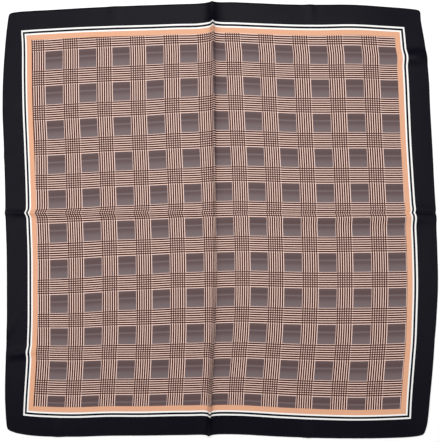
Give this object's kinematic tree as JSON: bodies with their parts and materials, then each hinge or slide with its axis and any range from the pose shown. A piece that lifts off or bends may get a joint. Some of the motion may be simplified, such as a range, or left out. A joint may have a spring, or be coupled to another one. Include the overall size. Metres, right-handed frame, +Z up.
{
  "type": "square scarf",
  "caption": "Large square scarf with a checked print and a plain dark border, laid out flat with pressed fold creases down and across its middle.",
  "frame": {"origin": "on the surface that the scarf lies on, under the middle of its outline", "axes": "+X to the right of the print, +Y to its top, +Z up out of the printed face"},
  "size_m": [0.8998, 0.9018, 0.0209],
  "materials": {
    "printed_cloth": "soft satin sheen"
  },
  "bodies": {
    "root": {"scarf_cloth": "printed_cloth"}
  },
  "joints": []
}
